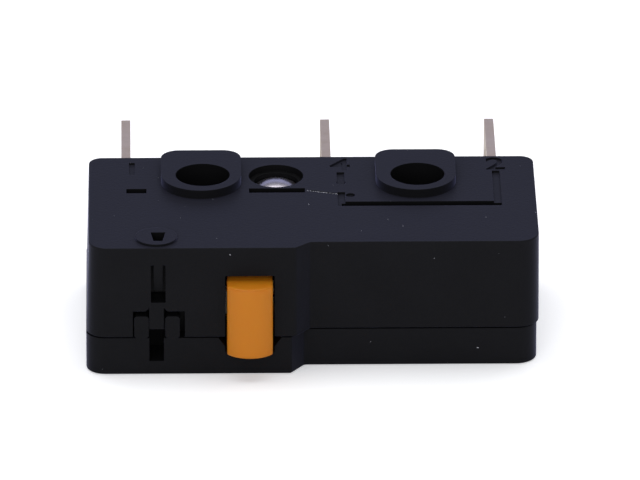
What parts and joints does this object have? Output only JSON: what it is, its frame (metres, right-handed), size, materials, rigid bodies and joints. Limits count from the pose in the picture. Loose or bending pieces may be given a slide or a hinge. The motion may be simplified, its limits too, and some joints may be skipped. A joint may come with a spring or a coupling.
{
  "type": "micro switch",
  "caption": "Subminiature snap-action switch: black two-shell body with two mounting holes, a plunger and blade terminals.",
  "frame": {"origin": "midway between the two mounting holes, on the flat underside of the cover", "axes": "+X along the body, +Y out of the rear face along the terminals, +Z through the thickness towards the raised lands"},
  "size_m": [0.0199, 0.0196, 0.0064],
  "materials": {
    "black_moulding": "moulded, satin",
    "orange_moulding": "moulded, satin",
    "natural_moulding": "moulded",
    "tinned_brass": "tin plated, satin",
    "rivet_metal": "nickel plated",
    "spring_steel": "drawn",
    "blade_alloy": "rolled",
    "contact_silver": "polished"
  },
  "bodies": {
    "housing": {"case": "black_moulding", "cover": "black_moulding", "assembly_rivet": "rivet_metal", "common_terminal": "tinned_brass", "no_terminal": "tinned_brass", "nc_terminal": "tinned_brass", "no_contact": "contact_silver", "nc_contact": "contact_silver"},
    "button": {"plunger": "orange_moulding"},
    "driver": {"actuating_lever": "natural_moulding", "snap_spring": "spring_steel"},
    "rocker": {"contact_lever": "blade_alloy", "moving_contact": "contact_silver"}
  },
  "joints": [
    {"name": "plunger_press", "type": "slide", "parent": "housing", "child": "button", "axis": [0, 1, 0], "range_m": [0, 0.0008], "stiffness_N_per_m": 1500},
    {"name": "actuating_lever_turn", "type": "hinge", "parent": "housing", "child": "driver", "pos_m": [-0.005, -0.0059, 0.0028], "axis": [0, 0, 1], "range_deg": [0, 17.3], "deforming": ["snap_spring"]},
    {"name": "contact_lever_rock", "type": "hinge", "parent": "housing", "child": "rocker", "pos_m": [-0.00615, -0.00395, 0.0028], "axis": [0, 0, 1], "range_deg": [0, 3.82]}
  ],
  "couplings": [
    {"joint": "actuating_lever_turn", "follows": "plunger_press", "rad_per_m": 377.4},
    {"joint": "contact_lever_rock", "follows": "plunger_press", "rad_per_m": 83.3}
  ]
}
